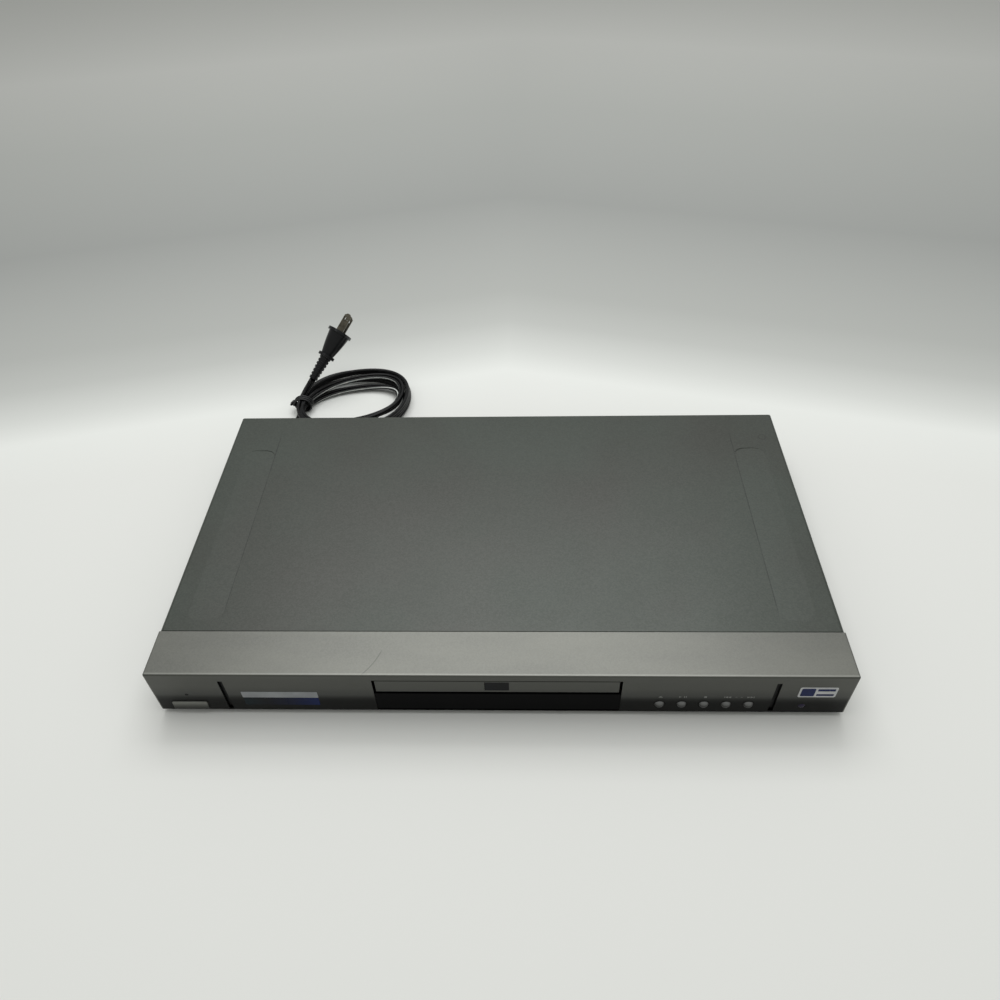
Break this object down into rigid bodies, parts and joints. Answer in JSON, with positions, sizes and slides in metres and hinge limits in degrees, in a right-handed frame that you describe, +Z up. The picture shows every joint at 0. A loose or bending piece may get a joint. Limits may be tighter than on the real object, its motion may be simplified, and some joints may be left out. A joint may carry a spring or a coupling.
{
  "type": "dvd player",
  "caption": "Slim full-width DVD player with a centre loading tray, a dark display window, round front keys, rear jacks and a coiled mains lead.",
  "frame": {"origin": "on the ground, under the middle of the player's box without its lead", "axes": "+Z up, +X to the right as seen from the front, -Y out of the front face"},
  "size_m": [0.43, 0.3752, 0.0673],
  "materials": {
    "satin_painted_cover": "satin olive-grey metallic paint",
    "brushed_panel": "brushed, clear coated, with a soft highlight on its edge",
    "zinc_sheet": "zinc plated sheet",
    "black_sheet": "black powder coat",
    "smoked_window": "smoked, polished",
    "dark_lens": "dark violet, clear",
    "clear_lens": "clear, polished",
    "button_metalized": "satin metallised caps",
    "black_plastic": "fine moulded grain",
    "white_plastic": "natural acetal",
    "loader_plastic": "dark moulded",
    "tray_plastic": "dark moulded",
    "circuit_board": "solder resist over laminate",
    "paper_board": "phenolic laminate",
    "components": "moulded components",
    "steel_parts": "turned steel",
    "black_screws": "blackened",
    "nickel_jacks": "nickel plated",
    "blade_brass": "nickelled brass",
    "rubber": "matte",
    "lead_vinyl": "soft black vinyl, low gloss",
    "tie_plastic": "coated wire tie",
    "cast_aluminium": "die cast",
    "magnet": "ferrite",
    "display_glass": "dark glass"
  },
  "bodies": {
    "chassis": {"chassis_base": "zinc_sheet", "rear_panel": "black_sheet", "top_cover": "satin_painted_cover", "front_panel": "brushed_panel", "display_window": "smoked_window", "display_module": "display_glass", "standby_lamp_lens": "clear_lens", "remote_lens": "dark_lens", "front_board": "paper_board", "front_board_parts": "components", "front_ribbon": "white_plastic", "main_board": "circuit_board", "main_board_parts": "components", "power_board": "paper_board", "power_board_parts": "components", "power_transformer": "components", "heat_sink": "cast_aluminium", "feet": "black_plastic", "cover_screws": "black_screws", "loader_screws": "steel_parts", "board_screws": "steel_parts", "jack_housings": "black_plastic", "jack_barrels": "nickel_jacks", "super_video_socket": "black_plastic", "optical_socket": "black_plastic", "loader_frame": "loader_plastic", "clamp_bridge": "zinc_sheet", "loading_motor": "steel_parts", "loading_belt": "rubber", "lead_bush": "lead_vinyl", "lead_run": "lead_vinyl", "lead_coil": "lead_vinyl", "lead_tail": "lead_vinyl", "lead_tie": "tie_plastic", "plug_body": "lead_vinyl", "plug_blades": "blade_brass"},
    "tray": {"tray": "tray_plastic", "tray_door": "brushed_panel"},
    "loading_gear": {"loading_gear": "white_plastic"},
    "pulley_gear": {"pulley_gear": "white_plastic"},
    "motor_pulley": {"motor_pulley": "white_plastic"},
    "cam_slider": {"cam_slider": "white_plastic"},
    "traverse": {"traverse_plate": "zinc_sheet", "traverse_bushes": "rubber", "guide_rods": "steel_parts", "spindle_motor": "steel_parts", "sled_motor": "steel_parts"},
    "turntable": {"turntable": "black_plastic"},
    "clamper": {"clamper": "white_plastic", "clamp_magnet": "magnet"},
    "sled": {"pickup_sled": "cast_aluminium"},
    "lens": {"lens_holder": "clear_lens"},
    "lead_screw": {"lead_screw": "steel_parts"},
    "power_button": {"power_button": "button_metalized"},
    "round_button_1": {"round_button_1": "button_metalized"},
    "round_button_2": {"round_button_2": "button_metalized"},
    "round_button_3": {"round_button_3": "button_metalized"},
    "round_button_4": {"round_button_4": "button_metalized"},
    "round_button_5": {"round_button_5": "button_metalized"}
  },
  "joints": [
    {"name": "tray_slide", "type": "slide", "parent": "chassis", "child": "tray", "axis": [0, -1, 0], "range_m": [0, 0.138]},
    {"name": "loading_gear_turn", "type": "hinge", "parent": "chassis", "child": "loading_gear", "pos_m": [0.041, -0.09345, 0.02], "axis": [0, 0, 1], "range_deg": [-570, 0]},
    {"name": "pulley_gear_turn", "type": "hinge", "parent": "chassis", "child": "pulley_gear", "pos_m": [0.021, -0.09345, 0.018], "axis": [0, 0, 1], "range_deg": [0, 1460]},
    {"name": "motor_pulley_turn", "type": "hinge", "parent": "chassis", "child": "motor_pulley", "pos_m": [-0.018, -0.09345, 0.019], "axis": [0, 0, 1], "range_deg": [0, 3760]},
    {"name": "traverse_tilt", "type": "hinge", "parent": "chassis", "child": "traverse", "pos_m": [0, 0.04655, 0.016], "axis": [1, 0, 0], "range_deg": [0, 3]},
    {"name": "cam_slide", "type": "slide", "parent": "chassis", "child": "cam_slider", "axis": [1, 0, 0], "range_m": [0, 0.016]},
    {"name": "spindle_turn", "type": "hinge", "parent": "traverse", "child": "turntable", "pos_m": [0, -0.03745, 0.0315], "axis": [0, 0, 1], "continuous": true},
    {"name": "clamper_turn", "type": "hinge", "parent": "chassis", "child": "clamper", "pos_m": [0, -0.03745, 0.0375], "axis": [0, 0, 1], "continuous": true},
    {"name": "sled_slide", "type": "slide", "parent": "traverse", "child": "sled", "axis": [0, 1, 0], "range_m": [0, 0.036]},
    {"name": "lead_screw_turn", "type": "hinge", "parent": "traverse", "child": "lead_screw", "pos_m": [-0.032, -0.00545, 0.0194], "axis": [0, 1, 0], "range_deg": [0, 4330]},
    {"name": "lens_focus", "type": "slide", "parent": "sled", "child": "lens", "axis": [0, 0, 1], "range_m": [-0.0004, 0.0004], "stiffness_N_per_m": 40},
    {"name": "power_button_press", "type": "slide", "parent": "chassis", "child": "power_button", "axis": [0, 1, 0], "range_m": [0, 0.0007], "stiffness_N_per_m": 300},
    {"name": "round_button_1_press", "type": "slide", "parent": "chassis", "child": "round_button_1", "axis": [0, 1, 0], "range_m": [0, 0.0007], "stiffness_N_per_m": 300},
    {"name": "round_button_2_press", "type": "slide", "parent": "chassis", "child": "round_button_2", "axis": [0, 1, 0], "range_m": [0, 0.0007], "stiffness_N_per_m": 300},
    {"name": "round_button_3_press", "type": "slide", "parent": "chassis", "child": "round_button_3", "axis": [0, 1, 0], "range_m": [0, 0.0007], "stiffness_N_per_m": 300},
    {"name": "round_button_4_press", "type": "slide", "parent": "chassis", "child": "round_button_4", "axis": [0, 1, 0], "range_m": [0, 0.0007], "stiffness_N_per_m": 300},
    {"name": "round_button_5_press", "type": "slide", "parent": "chassis", "child": "round_button_5", "axis": [0, 1, 0], "range_m": [0, 0.0007], "stiffness_N_per_m": 300}
  ],
  "couplings": [
    {"joint": "loading_gear_turn", "follows": "tray_slide", "rad_per_m": -71.429},
    {"joint": "pulley_gear_turn", "follows": "tray_slide", "rad_per_m": 183.67},
    {"joint": "motor_pulley_turn", "follows": "tray_slide", "rad_per_m": 472.6},
    {"joint": "cam_slide", "follows": "traverse_tilt", "m_per_rad": 0.30555},
    {"joint": "clamper_turn", "follows": "spindle_turn", "ratio": 1},
    {"joint": "lead_screw_turn", "follows": "sled_slide", "rad_per_m": 2094.4}
  ]
}
